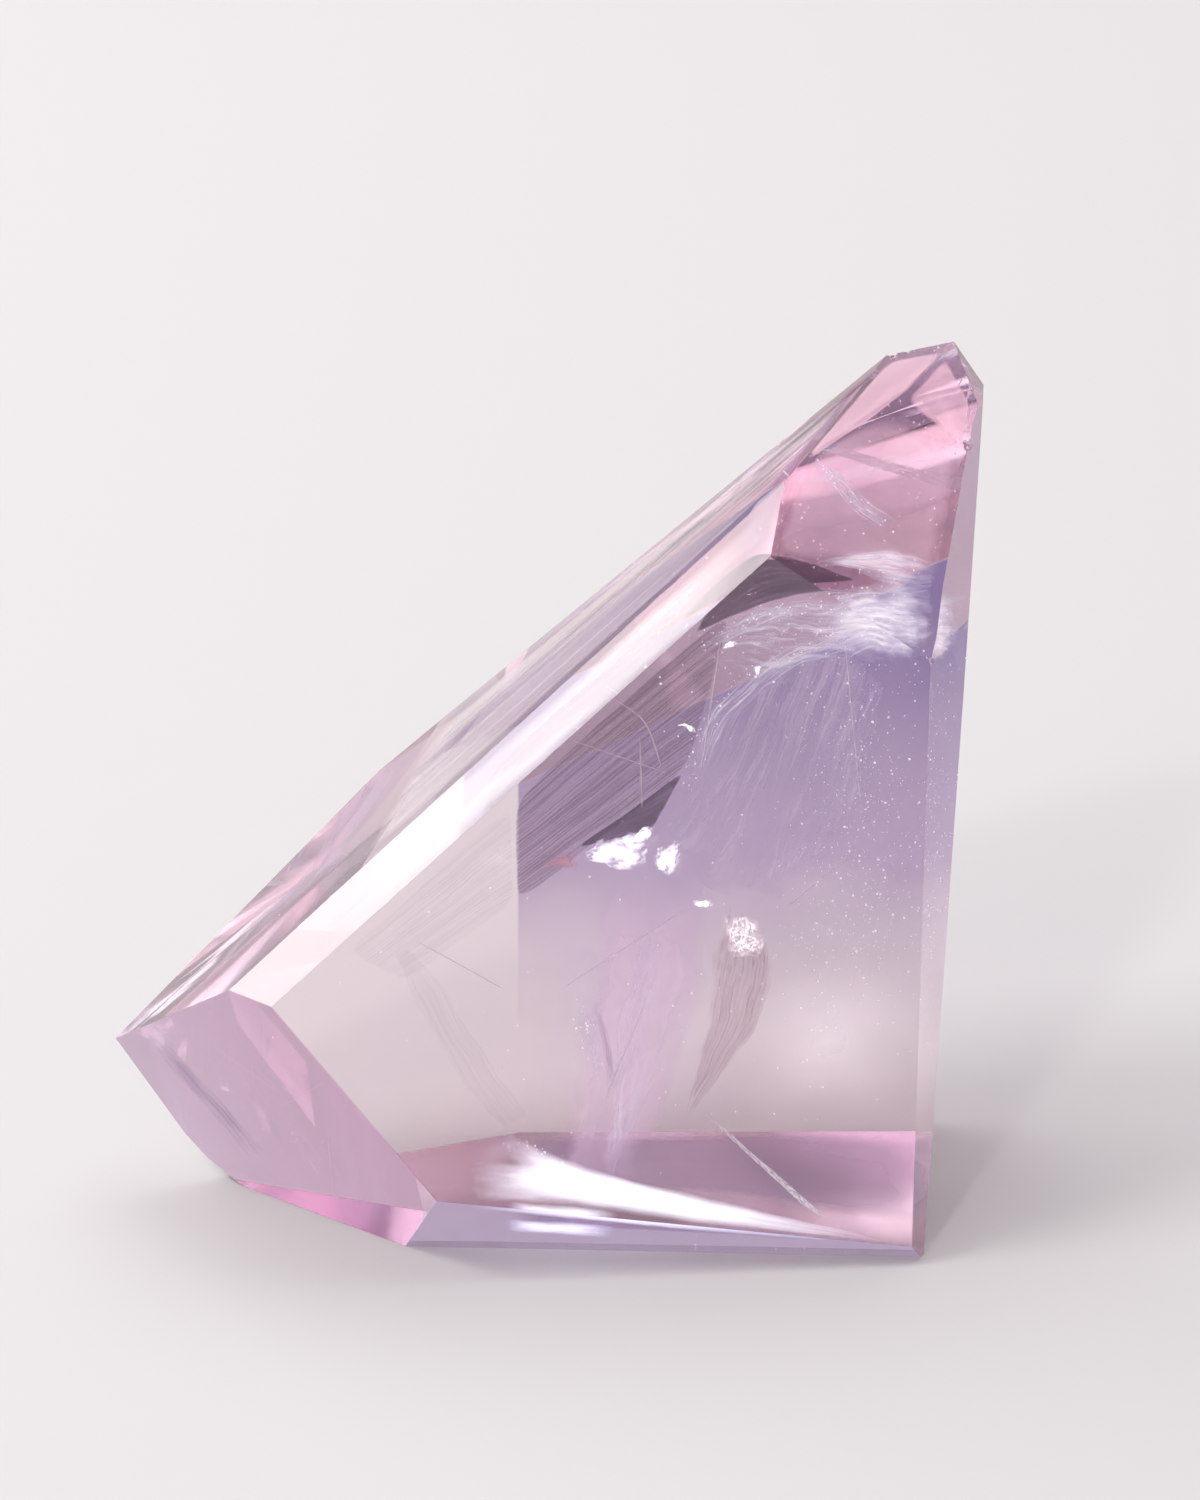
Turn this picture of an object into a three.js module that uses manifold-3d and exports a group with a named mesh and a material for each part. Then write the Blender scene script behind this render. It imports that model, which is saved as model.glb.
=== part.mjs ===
// A free-form of rose quartz, cut and polished with flat facets from one clear crystal.
// Millimetres, +Z up, +Y away from the viewer. It stands on its flat polished base.
import * as THREE from "three";
import { mergeVertices } from "three/addons/utils/BufferGeometryUtils.js";
import Module from "manifold-3d";

const { Manifold, Mesh } = await startManifold();

// The rough block that the facets are cut from, and the depth of stone that each cut can remove.
const roughSide = 90;
const cutDepth = 60;

// The thin facet polished along the ridge between the upper front and the top right.
const ridgeFacetWidth = 0.3;

// A point well inside the stone: every facet faces away from it.
const heart = point(1, -1, 14);

// Corners round the big front facet.
const frontLeft = point(-16.4, -11.1, 13.3);
const frontTop = point(8.55, -0.7, 33.3);
const frontRight = point(16.6, -2.05, 28.2);
const frontLowRight = point(15.7, -13.3, 0.9);

// Corners of the narrow bevel along the upper left of the front facet.
const bevelBend = point(-13.35, -7.25, 17.7);
const bevelLeft = point(-18.5, -9.5, 13.5);
const bevelTop = point(9.25, 2.45, 36.0);

// Corners round the upper front facet and the two thin facets under it.
const shoulder = point(10.4, 3.8, 36.85);
const ridgeTop = point(15.5, 8.0, 38.8);
const ridgeEnd = point(18.75, 6.75, 36.2);
const collarMiddle = point(10.75, -0.45, 32.6);
const collarRight = point(17.25, 0.6, 30.95);
const collarLowRight = point(16.8, -1.3, 29.0);

// Corners of the facets at the tip.
const tipLeft = point(14.8, 10.3, 39.95);
const tip = point(18.15, 11.15, 40.25);
const tipRight = point(19.25, 8.9, 37.85);
const tipBack = point(19.95, 13.65, 37.5);

// Corners along the right side.
const rightBevelTop = point(18.55, 0.85, 26.6);
const rightTop = point(19.6, 8.95, 37.9);

// Corners of the small facet that takes off the point where the three right facets meet.
const glintFront = point(17.7, -0.1, 28.15);
const glintTop = point(18.7, 2.15, 28.3);
const glintLow = point(18.5, 0.55, 25.95);

// Corners of the flat base that can be seen from the front.
const baseLeft = point(-9.85, -11.6, 0);
const baseRight = point(16.05, -12.75, 0);
const baseCorner = point(16.4, -12.3, 0.35);

// Corners of the overhanging left end.
const leftTip = point(-24.9, -2.75, 7.3);
const leftLow = point(-22.65, -3.2, 3.55);
const leftLower = point(-20.3, -4.15, 1.15);
const leftFoot = point(-18.65, -5.0, 0.1);
const leftUnder = point(-20.0, -2.5, 0.35);
const leftBehind = point(-21.9, 0.5, 2.6);

// Corners of the back.
const backKink = point(-8.3, 7.75, 20.5);
const backMiddle = point(-4.6, 11.3, 20.1);
const backFoot = point(-4.6, 1.9, 0);
const backFootRight = point(17.3, 1.9, 0);

// Each facet lies on three corners, in the order in which the stone was turned on the wheel.
const facets = {
  front: [frontLeft, frontTop, frontLowRight],
  upperLeftBevel: [frontLeft, frontTop, bevelTop],
  upperFront: [frontTop, shoulder, collarRight],
  collar: [frontTop, frontRight, collarLowRight],
  collarCorner: [collarMiddle, collarRight, collarLowRight],
  top: [shoulder, ridgeTop, tip],
  topRight: [ridgeTop, ridgeEnd, tipRight],
  tipBevel: [tip, tipRight, tipBack],
  rightBevel: [frontRight, frontLowRight, rightBevelTop],
  upperRightBevel: [collarRight, ridgeEnd, rightBevelTop],
  rightSide: [baseCorner, rightTop, backFootRight],
  rightGlint: [glintFront, glintTop, glintLow],
  lowerLeft: [frontLeft, baseLeft, leftTip],
  frontFoot: [baseLeft, baseRight, frontLowRight],
  upperBack: [bevelBend, bevelTop, backKink],
  leftShoulder: [bevelBend, bevelLeft, backKink],
  backTop: [tipLeft, tip, backKink],
  backLeft: [leftTip, backMiddle, backFoot],
  backRight: [backMiddle, backFoot, backFootRight],
  leftUnderside: [leftTip, leftLow, leftBehind],
  leftLowBevel: [leftLow, leftLower, leftBehind],
  leftFootBevel: [leftLower, leftFoot, leftUnder],
};

function point(x, y, z) {
  return new THREE.Vector3(x, y, z);
}

async function startManifold() {
  const library = await Module();
  library.setup();
  return library;
}

// A three.js geometry as a solid that can be cut.
function solid(geometry) {
  const shell = new THREE.BufferGeometry();
  shell.setAttribute("position", geometry.getAttribute("position"));
  shell.setIndex(geometry.getIndex());
  const joined = mergeVertices(shell, 1e-4);
  const mesh = new Mesh({
    numProp: 3,
    vertProperties: joined.getAttribute("position").array,
    triVerts: new Uint32Array(joined.getIndex().array),
  });
  return new Manifold(mesh);
}

// The cut solid as a three.js geometry with a flat normal on every facet.
function geometryOf(body) {
  const mesh = body.getMesh();
  const geometry = new THREE.BufferGeometry();
  geometry.setAttribute("position", new THREE.BufferAttribute(mesh.vertProperties, 3));
  geometry.setIndex(new THREE.BufferAttribute(mesh.triVerts, 1));
  const flat = geometry.toNonIndexed();
  flat.computeVertexNormals();
  return flat;
}

// The plane through three corners, facing away from the heart of the stone.
function facetPlane([a, b, c]) {
  const plane = new THREE.Plane().setFromCoplanarPoints(a, b, c);
  if (plane.distanceToPoint(heart) > 0) {
    plane.negate();
  }
  return plane;
}

// The plane of a narrow bevel of the given width along the edge where two facets meet.
function ridgePlane(first, second, onEdge, width) {
  const normal = first.normal.clone().add(second.normal).normalize();
  const halfAngle = first.normal.angleTo(second.normal) / 2;
  const depth = (width / 2) * Math.tan(halfAngle);
  const through = onEdge.clone().addScaledVector(normal, -depth);
  return new THREE.Plane().setFromNormalAndCoplanarPoint(normal, through);
}

// All the stone outside one plane, as a block with its inner face on that plane.
function waste(plane) {
  const block = new THREE.BoxGeometry(2 * roughSide, 2 * roughSide, cutDepth);
  block.translate(0, 0, cutDepth / 2);
  const up = new THREE.Vector3(0, 0, 1);
  block.applyQuaternion(new THREE.Quaternion().setFromUnitVectors(up, plane.normal));
  const onPlane = plane.projectPoint(heart, new THREE.Vector3());
  block.translate(onPlane.x, onPlane.y, onPlane.z);
  return solid(block);
}

function cutStone() {
  const rough = new THREE.BoxGeometry(roughSide, roughSide, roughSide);
  rough.translate(heart.x, heart.y, roughSide / 2);
  let stone = solid(rough);
  for (const corners of Object.values(facets)) {
    stone = stone.subtract(waste(facetPlane(corners)));
  }
  const upperFront = facetPlane(facets.upperFront);
  const topRight = facetPlane(facets.topRight);
  stone = stone.subtract(waste(ridgePlane(upperFront, topRight, ridgeTop, ridgeFacetWidth)));
  return geometryOf(stone);
}

// The stone's shape, moved so that the middle of its footprint box is the origin.
const shape = cutStone();
shape.computeBoundingBox();
const middle = shape.boundingBox.getCenter(new THREE.Vector3());
shape.translate(-middle.x, -middle.y, -shape.boundingBox.min.z);

const quartz = new THREE.MeshStandardMaterial({
  color: 0xe8c3d6,
  roughness: 0.05,
  metalness: 0,
  transparent: true,
  opacity: 0.55,
});

const crystal = new THREE.Mesh(shape, quartz);
crystal.name = "crystal";

const roseQuartz = new THREE.Group();
roseQuartz.add(crystal);

export default roseQuartz;
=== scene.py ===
import bpy
from math import cos, pi, radians, sin
from random import Random
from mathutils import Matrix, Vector, noise


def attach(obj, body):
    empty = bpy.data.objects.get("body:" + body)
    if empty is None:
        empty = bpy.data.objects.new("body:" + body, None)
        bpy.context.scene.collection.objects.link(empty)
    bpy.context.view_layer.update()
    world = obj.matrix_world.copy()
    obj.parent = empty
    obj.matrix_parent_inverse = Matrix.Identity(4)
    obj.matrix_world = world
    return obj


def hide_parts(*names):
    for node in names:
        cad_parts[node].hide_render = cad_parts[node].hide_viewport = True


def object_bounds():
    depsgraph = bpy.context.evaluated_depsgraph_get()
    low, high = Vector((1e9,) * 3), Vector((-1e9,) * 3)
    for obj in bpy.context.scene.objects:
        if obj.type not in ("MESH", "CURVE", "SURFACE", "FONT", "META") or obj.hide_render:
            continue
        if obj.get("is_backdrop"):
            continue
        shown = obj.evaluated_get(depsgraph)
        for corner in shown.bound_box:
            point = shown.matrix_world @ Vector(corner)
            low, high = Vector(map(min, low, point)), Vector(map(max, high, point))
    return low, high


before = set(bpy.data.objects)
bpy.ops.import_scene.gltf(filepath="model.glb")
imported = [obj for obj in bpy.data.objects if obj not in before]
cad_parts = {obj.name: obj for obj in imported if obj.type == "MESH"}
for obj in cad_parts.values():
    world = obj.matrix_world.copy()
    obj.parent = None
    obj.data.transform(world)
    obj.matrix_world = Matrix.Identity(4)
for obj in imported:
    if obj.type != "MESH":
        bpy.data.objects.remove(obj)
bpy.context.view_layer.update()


# The stone
# A free-form of gem-clear rose quartz. It is sawn from one crystal, ground flat facet by facet
# on a wheel and polished, so its edges are crisp with only a hair's breadth of rounding. A few
# tiny chips sit on the edges at its tip. The back right facet is tinted lilac, darker towards the
# top: that tint is painted shade, for the shaded floor seen through the stone. The lower left
# facet is tinted pink, the back top one dark mauve and the front foot pale blue.

MM = 0.001
SAME_CORNER = 0.002 * MM
FLAT_ENOUGH = radians(0.05)
EDGE_ROUNDING = 0.07 * MM
SHARP_EDGE = radians(1.2)
CHIP_PLACES = [(17.6, 10.2, 39.95), (18.3, 10.5, 40.08), (21.6, 9.6, 38.3), (21.25, 7.2, 36.1),
               (19.2, -1.9, 28.1)]
CHIP_SIZES = [0.30, 0.20, 0.22, 0.26, 0.16]
CHIP_LUMPS = 0.35
CHIP_LUMP_WIDTH = 0.5
CHIP_VARIETY = 7.3
QUARTZ_IOR = 1.544
PINK_PASSED = (0.66, 0.19, 0.40, 1)
PINK_DENSITY = 15.0
FACET_SKIN = 0.06 * MM
BACK_RIGHT = (0, 0.906, -0.424)
LOWER_LEFT = (-0.58, -0.77, -0.26)
# The back right facet's lilac, darker towards the top, is painted shade.
PAINTED_SHADE_FROM = 5 * MM
PAINTED_SHADE_TO = 27 * MM
PAINTED_SHADE_LOW = (1.0, 0.96, 0.98, 1)
PAINTED_SHADE_MIDDLE = (0.38, 0.29, 0.53, 1)
PAINTED_SHADE_HIGH = (0.09, 0.06, 0.23, 1)
PINK_END = (0.80, 0.55, 0.74, 1)
BACK_TOP = (-0.257, 0.949, 0.181)
MAUVE = (0.36, 0.24, 0.36, 1)
FRONT_FOOT = (-0.04, -0.85, -0.53)
PALE_BLUE = (0.66, 0.62, 0.90, 1)
BASE = (0, 0, -1)
GROUND_BASE = 0.14
CLOUD_GRAIN = 160.0
CLOUD_DETAIL = 3.0
CLOUD_RISE = 5 * MM
NEARLY_CLEAR = (1.0, 0.975, 0.975, 1)
CLEAR = (1.0, 0.995, 0.99, 1)


def only(piece):
    """Selects one piece alone and makes it active."""
    bpy.ops.object.select_all(action="DESELECT")
    piece.select_set(True)
    bpy.context.view_layer.objects.active = piece


def apply(piece, kind, name, **settings):
    """Adds a modifier with these settings and applies it."""
    only(piece)
    modifier = piece.modifiers.new(name, kind)
    for key, value in settings.items():
        setattr(modifier, key, value)
    bpy.ops.object.modifier_apply(modifier=name)


def chip_tool(place, size, seed):
    """A lumpy little ball that takes a shell-shaped chip off an edge."""
    bpy.ops.object.select_all(action="DESELECT")
    bpy.ops.mesh.primitive_ico_sphere_add(subdivisions=3, radius=size * MM)
    ball = bpy.context.object
    centre = Vector(place) * MM
    for vertex in ball.data.vertices:
        lump = 1 + CHIP_LUMPS * noise.noise(vertex.co / (CHIP_LUMP_WIDTH * size * MM) + Vector((seed, 0, 0)))
        vertex.co = vertex.co * lump + centre
    return ball


cut_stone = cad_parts["crystal"]
stone = bpy.data.objects.new("rose_quartz_stone", cut_stone.data.copy())
bpy.context.scene.collection.objects.link(stone)
only(stone)
bpy.ops.object.mode_set(mode="EDIT")
bpy.ops.mesh.select_all(action="SELECT")
bpy.ops.mesh.remove_doubles(threshold=SAME_CORNER)
bpy.ops.mesh.dissolve_limited(angle_limit=FLAT_ENOUGH)
bpy.ops.object.mode_set(mode="OBJECT")
apply(stone, "BEVEL", "edge rounding", width=EDGE_ROUNDING, segments=2, limit_method="ANGLE",
      angle_limit=SHARP_EDGE)
for number, (chip, size) in enumerate(zip(CHIP_PLACES, CHIP_SIZES)):
    tool = chip_tool(chip, size, number * CHIP_VARIETY)
    apply(stone, "BOOLEAN", "chip", operation="DIFFERENCE", solver="EXACT", object=tool)
    bpy.data.objects.remove(tool)

quartz = bpy.data.materials.new("rose_quartz")
quartz.use_nodes = True
nodes = quartz.node_tree.nodes
links = quartz.node_tree.links
polish = nodes["Principled BSDF"]
polish.inputs["Roughness"].default_value = 0.0
polish.inputs["IOR"].default_value = QUARTZ_IOR
polish.inputs["Transmission Weight"].default_value = 1.0
body_colour = nodes.new("ShaderNodeVolumeAbsorption")
body_colour.inputs["Color"].default_value = PINK_PASSED
body_colour.inputs["Density"].default_value = PINK_DENSITY
links.new(body_colour.outputs["Volume"], nodes["Material Output"].inputs["Volume"])

place = nodes.new("ShaderNodeTexCoord")


def facet_towards(direction):
    """The facet that faces most nearly this way: its normal and its distance from the origin."""
    faces = cut_stone.data.polygons
    face = max(faces, key=lambda each: each.normal.dot(Vector(direction).normalized()))
    return face.normal.copy(), face.normal.dot(face.center)


def on_facet(direction):
    """A mask that is 1 on one facet and 0 on the rest of the stone."""
    normal, distance = facet_towards(direction)
    outwards = nodes.new("ShaderNodeVectorMath")
    outwards.operation = "DOT_PRODUCT"
    outwards.inputs[1].default_value = normal
    links.new(place.outputs["Object"], outwards.inputs[0])
    mask = nodes.new("ShaderNodeMapRange")
    mask.inputs["From Min"].default_value = distance - FACET_SKIN
    mask.inputs["From Max"].default_value = distance - FACET_SKIN / 3
    links.new(outwards.outputs["Value"], mask.inputs["Value"])
    return mask.outputs["Result"]


def tinted(under, mask, colour):
    """The colour under it, changed where the mask is 1."""
    mix = nodes.new("ShaderNodeMix")
    mix.data_type = "RGBA"
    links.new(mask, mix.inputs["Factor"])
    links.new(under, mix.inputs["A"])
    if isinstance(colour, tuple):
        mix.inputs["B"].default_value = colour
    else:
        links.new(colour, mix.inputs["B"])
    return mix.outputs["Result"]


axes = nodes.new("ShaderNodeSeparateXYZ")
links.new(place.outputs["Object"], axes.inputs["Vector"])
cloud = nodes.new("ShaderNodeTexNoise")
cloud.inputs["Scale"].default_value = CLOUD_GRAIN
cloud.inputs["Detail"].default_value = CLOUD_DETAIL
links.new(place.outputs["Object"], cloud.inputs["Vector"])
cloud_shift = nodes.new("ShaderNodeMath")
cloud_shift.operation = "MULTIPLY_ADD"
cloud_shift.inputs[1].default_value = CLOUD_RISE
links.new(cloud.outputs["Fac"], cloud_shift.inputs[0])
links.new(axes.outputs["Z"], cloud_shift.inputs[2])
height = nodes.new("ShaderNodeMapRange")
height.inputs["From Min"].default_value = PAINTED_SHADE_FROM
height.inputs["From Max"].default_value = PAINTED_SHADE_TO
links.new(cloud_shift.outputs["Value"], height.inputs["Value"])
lilac = nodes.new("ShaderNodeValToRGB")
lilac.color_ramp.elements[0].position = 0.10
lilac.color_ramp.elements[0].color = PAINTED_SHADE_LOW
lilac.color_ramp.elements[1].position = 0.95
lilac.color_ramp.elements[1].color = PAINTED_SHADE_HIGH
middle = lilac.color_ramp.elements.new(0.45)
middle.color = PAINTED_SHADE_MIDDLE
links.new(height.outputs["Result"], lilac.inputs["Fac"])
bare = nodes.new("ShaderNodeValToRGB")
bare.color_ramp.elements[0].color = NEARLY_CLEAR
bare.color_ramp.elements[1].color = CLEAR
links.new(cloud.outputs["Fac"], bare.inputs["Fac"])
# Painted shade: the back right facet is tinted lilac, darker towards the top.
colour = tinted(bare.outputs["Color"], on_facet(BACK_RIGHT), lilac.outputs["Color"])
colour = tinted(colour, on_facet(LOWER_LEFT), PINK_END)
colour = tinted(colour, on_facet(BACK_TOP), MAUVE)
colour = tinted(colour, on_facet(FRONT_FOOT), PALE_BLUE)
links.new(colour, polish.inputs["Base Color"])
ground = nodes.new("ShaderNodeMath")
ground.operation = "MULTIPLY"
ground.inputs[1].default_value = GROUND_BASE
links.new(on_facet(BASE), ground.inputs[0])
links.new(ground.outputs["Value"], polish.inputs["Roughness"])

stone.data.materials.clear()
stone.data.materials.append(quartz)
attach(stone, "root")
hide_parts("crystal")


# The striated cleft
# A flat healed crack that crosses the stone behind the long bevel. Fine growth lines cover it,
# and a small dark wedge of it shows under the bright flakes. It formed inside the crystal.

SHEET_THICKNESS = 0.012 * MM
CLEARANCE = 0.15
SAME_SLANT = 1e-3
RIPPLE_DRAWS = 12
FINE_RIPPLE = 0.4
FINE_RIPPLE_SIZE = 0.3
WISP_DETAIL = 6.0
TEARS_ACROSS = 5.0
TEAR_DETAIL = 4.0
ROUND_CORNERS = 0.25
CRACK_SHEEN = 0.1
STREAK_SETTINGS = {"Along": 4.0, "Across": 20.0, "Turn": 0.0, "Twist": 0.5, "Start": 0.45, "Full": 0.75,
                   "Border": 0.25, "Haze": 0.0, "Fineness": 0.6, "Torn": 0.5}
noise.seed_set(RIPPLE_DRAWS)
facet_planes = []
for face in cut_stone.data.polygons:
    found = (face.normal.copy(), face.normal.dot(face.center) / MM)
    if all((found[0] - known[0]).length > SAME_SLANT for known in facet_planes):
        facet_planes.append(found)


def keep_inside(point):
    """The point, moved in from any facet that is nearer than the clearance. In millimetres."""
    for normal, distance in facet_planes:
        over = point.dot(normal) - distance + CLEARANCE
        if over > 0:
            point = point - normal * over
    return point


def along_rail(rail, share):
    """The point at a share of a smooth line through the rail's points."""
    last = len(rail) - 1
    start = min(int(share * last), last - 1)
    t = share * last - start
    before, here, after, beyond = (Vector(rail[max(0, min(last, start + step))]) for step in (-1, 0, 1, 2))
    return 0.5 * (2 * here + (after - before) * t + (2 * before - 5 * here + 4 * after - beyond) * t * t
                  + (3 * here - before - 3 * after + beyond) * t * t * t)


def cleft(name, finish, low, high, along=48, across=24, ripple=0.15, ripple_size=2.0, seed=0.0):
    """A thin sheet inside the stone between two rails of points, in millimetres."""
    bpy.ops.object.select_all(action="DESELECT")
    bpy.ops.mesh.primitive_grid_add(x_subdivisions=along, y_subdivisions=across, size=1)
    piece = bpy.context.object
    piece.name = name
    for vertex in piece.data.vertices:
        share, width = vertex.co.x + 0.5, vertex.co.y + 0.5
        point = along_rail(low, share).lerp(along_rail(high, share), width)
        point += ripple * noise.noise_vector(point / ripple_size + Vector((seed, seed, 0)))
        fine_size = FINE_RIPPLE_SIZE * ripple_size
        point += FINE_RIPPLE * ripple * noise.noise_vector(point / fine_size + Vector((0, seed, 0)))
        vertex.co = keep_inside(point) * MM
    apply(piece, "SOLIDIFY", "thickness", thickness=SHEET_THICKNESS, offset=0)
    bpy.ops.object.shade_smooth()
    piece.data.materials.append(finish)
    # The stone's surface already stops every shadow ray, so a sheet inside it has none to cast.
    piece.visible_shadow = False
    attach(piece, "root")


def streaks_group():
    """The wispy pattern of a cleft, on the sheet's own UV map, faded towards its border."""
    group = bpy.data.node_groups.new("cleft_streaks", "ShaderNodeTree")
    for name, value in STREAK_SETTINGS.items():
        socket = group.interface.new_socket(name=name, in_out="INPUT", socket_type="NodeSocketFloat")
        socket.default_value = value
    group.interface.new_socket(name="Mask", in_out="OUTPUT", socket_type="NodeSocketFloat")
    made = group.nodes
    link = group.links.new
    given, result = made.new("NodeGroupInput"), made.new("NodeGroupOutput")
    sheet = made.new("ShaderNodeTexCoord")
    turned = made.new("ShaderNodeVectorRotate")
    turned.rotation_type = "Z_AXIS"
    turned.inputs["Center"].default_value = (0.5, 0.5, 0)
    link(sheet.outputs["UV"], turned.inputs["Vector"])
    link(given.outputs["Turn"], turned.inputs["Angle"])
    scales = made.new("ShaderNodeCombineXYZ")
    link(given.outputs["Along"], scales.inputs["X"])
    link(given.outputs["Across"], scales.inputs["Y"])
    stretched = made.new("ShaderNodeVectorMath")
    stretched.operation = "MULTIPLY"
    link(turned.outputs["Vector"], stretched.inputs[0])
    link(scales.outputs["Vector"], stretched.inputs[1])
    wisps = made.new("ShaderNodeTexNoise")
    wisps.inputs["Scale"].default_value = 1.0
    wisps.inputs["Detail"].default_value = WISP_DETAIL
    link(given.outputs["Fineness"], wisps.inputs["Roughness"])
    link(stretched.outputs["Vector"], wisps.inputs["Vector"])
    link(given.outputs["Twist"], wisps.inputs["Distortion"])
    shown = made.new("ShaderNodeMapRange")
    shown.interpolation_type = "SMOOTHSTEP"
    link(wisps.outputs["Fac"], shown.inputs["Value"])
    link(given.outputs["Start"], shown.inputs["From Min"])
    link(given.outputs["Full"], shown.inputs["From Max"])
    link(given.outputs["Haze"], shown.inputs["To Min"])
    torn = made.new("ShaderNodeTexNoise")
    torn.inputs["Scale"].default_value = TEARS_ACROSS
    torn.inputs["Detail"].default_value = TEAR_DETAIL
    link(sheet.outputs["UV"], torn.inputs["Vector"])
    torn_middle = made.new("ShaderNodeMath")
    torn_middle.operation = "SUBTRACT"
    torn_middle.inputs[1].default_value = 0.5
    link(torn.outputs["Fac"], torn_middle.inputs[0])
    torn_part = made.new("ShaderNodeMath")
    torn_part.operation = "MULTIPLY"
    link(torn_middle.outputs["Value"], torn_part.inputs[0])
    link(given.outputs["Torn"], torn_part.inputs[1])
    sides = made.new("ShaderNodeSeparateXYZ")
    link(sheet.outputs["UV"], sides.inputs["Vector"])
    near = []
    for side in ("X", "Y"):
        both = made.new("ShaderNodeMath")
        both.operation = "PINGPONG"
        both.inputs[1].default_value = 0.5
        link(sides.outputs[side], both.inputs[0])
        near.append(both)
    nearest = made.new("ShaderNodeMath")
    nearest.operation = "SMOOTH_MIN"
    nearest.inputs[2].default_value = ROUND_CORNERS
    link(near[0].outputs["Value"], nearest.inputs[0])
    link(near[1].outputs["Value"], nearest.inputs[1])
    rough_edge = made.new("ShaderNodeMath")
    rough_edge.operation = "ADD"
    link(nearest.outputs["Value"], rough_edge.inputs[0])
    link(torn_part.outputs["Value"], rough_edge.inputs[1])
    fade = made.new("ShaderNodeMapRange")
    fade.interpolation_type = "SMOOTHSTEP"
    fade.inputs["From Min"].default_value = 0.0
    link(rough_edge.outputs["Value"], fade.inputs["Value"])
    link(given.outputs["Border"], fade.inputs["From Max"])
    mask = made.new("ShaderNodeMath")
    mask.operation = "MULTIPLY"
    link(shown.outputs["Result"], mask.inputs[0])
    link(fade.outputs["Result"], mask.inputs[1])
    link(mask.outputs["Value"], result.inputs["Mask"])
    return group


cleft_streaks = streaks_group()


def cleft_finish(name, thin, thick, strength, painted_glow=0.0, roughness=0.45, metallic=0.0, **pattern):
    """A see-through crack surface: thin colour where it is faint, thick where it is dense. It glows in its
    own colour, and that glow is painted light.
    """
    finish = bpy.data.materials.new(name)
    finish.use_nodes = True
    made = finish.node_tree.nodes
    link = finish.node_tree.links.new
    surface = made["Principled BSDF"]
    streaks = made.new("ShaderNodeGroup")
    streaks.node_tree = cleft_streaks
    for socket, value in pattern.items():
        streaks.inputs[socket].default_value = value
    seen = made.new("ShaderNodeMath")
    seen.operation = "MULTIPLY"
    seen.inputs[1].default_value = strength
    link(streaks.outputs["Mask"], seen.inputs[0])
    link(seen.outputs["Value"], surface.inputs["Alpha"])
    colour = made.new("ShaderNodeMix")
    colour.data_type = "RGBA"
    colour.inputs["A"].default_value = (*thin, 1)
    colour.inputs["B"].default_value = (*thick, 1)
    link(streaks.outputs["Mask"], colour.inputs["Factor"])
    link(colour.outputs["Result"], surface.inputs["Base Color"])
    # Painted light: the sheet glows in its own colour.
    link(colour.outputs["Result"], surface.inputs["Emission Color"])
    surface.inputs["Emission Strength"].default_value = painted_glow
    surface.inputs["Roughness"].default_value = roughness
    surface.inputs["Metallic"].default_value = metallic
    surface.inputs["Specular IOR Level"].default_value = CRACK_SHEEN
    return finish


striated = cleft_finish("striated_cleft", (0.66, 0.54, 0.63), (0.30, 0.21, 0.31), 0.40, painted_glow=0.03,
                        Along=1.0, Across=46.0, Turn=0.10, Twist=0.1, Start=0.42, Full=0.60, Border=0.02,
                        Haze=0.30, Fineness=0.75, Torn=0.02)
faint = cleft_finish("faint_cleft", (0.80, 0.70, 0.76), (0.62, 0.50, 0.60), 0.07, painted_glow=0.10,
                     Along=1.2, Across=40.0, Turn=0.10, Twist=0.1, Start=0.40, Full=0.60, Border=0.04,
                     Haze=0.2, Torn=0.05)
dark_haze = cleft_finish("dark_haze", (0.16, 0.09, 0.18), (0.09, 0.04, 0.10), 0.50,
                         Along=2.0, Across=10.0, Turn=0.2, Twist=0.4, Start=0.2, Full=0.6, Border=0.06,
                         Haze=0.6, Torn=0.1)
cleft("striated_cleft_left", faint,
      [(-7.6, -1.8, 10.3), (-5.0, -0.5, 11.9), (-2.1, 0.8, 13.5)],
      [(-10.5, -3.4, 12.8), (-7.0, -1.5, 15.3), (-2.1, 1.2, 19.0)],
      ripple=0.05)
cleft("striated_cleft", striated,
      [(-2.0, 0.8, 13.5), (2.3, 2.0, 16.6), (6.7, 3.1, 19.9)],
      [(-2.0, 1.2, 19.0), (2.3, 2.8, 22.7), (9.2, 4.5, 28.5)],
      ripple=0.05)
cleft("striated_cleft_wedge", dark_haze,
      [(1.3, 0.6, 16.7), (3.3, 0.9, 17.1), (5.0, 1.1, 17.5)],
      [(1.4, 0.7, 16.9), (4.4, 1.6, 18.8), (6.7, 2.4, 20.3)],
      along=24, across=12, ripple=0.05)
cleft("dark_pocket", dark_haze,
      [(7.2, 1.2, 28.3), (9.8, 1.7, 29.3), (12.5, 2.2, 30.0), (15.1, 2.8, 30.0)],
      [(7.5, 1.2, 29.0), (9.3, 1.2, 31.1), (11.1, 0.7, 32.6), (15.1, 2.0, 30.6)],
      along=24, across=12, ripple=0.05)


# The veils
# Feathery healed cracks in the upper right, like torn white gauze with a blue tinge, and one
# smooth shell-shaped crack below them. Gas and liquid trapped along them scatter the light. Their glow,
# strongest in the bright gauze, is painted light.

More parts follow.
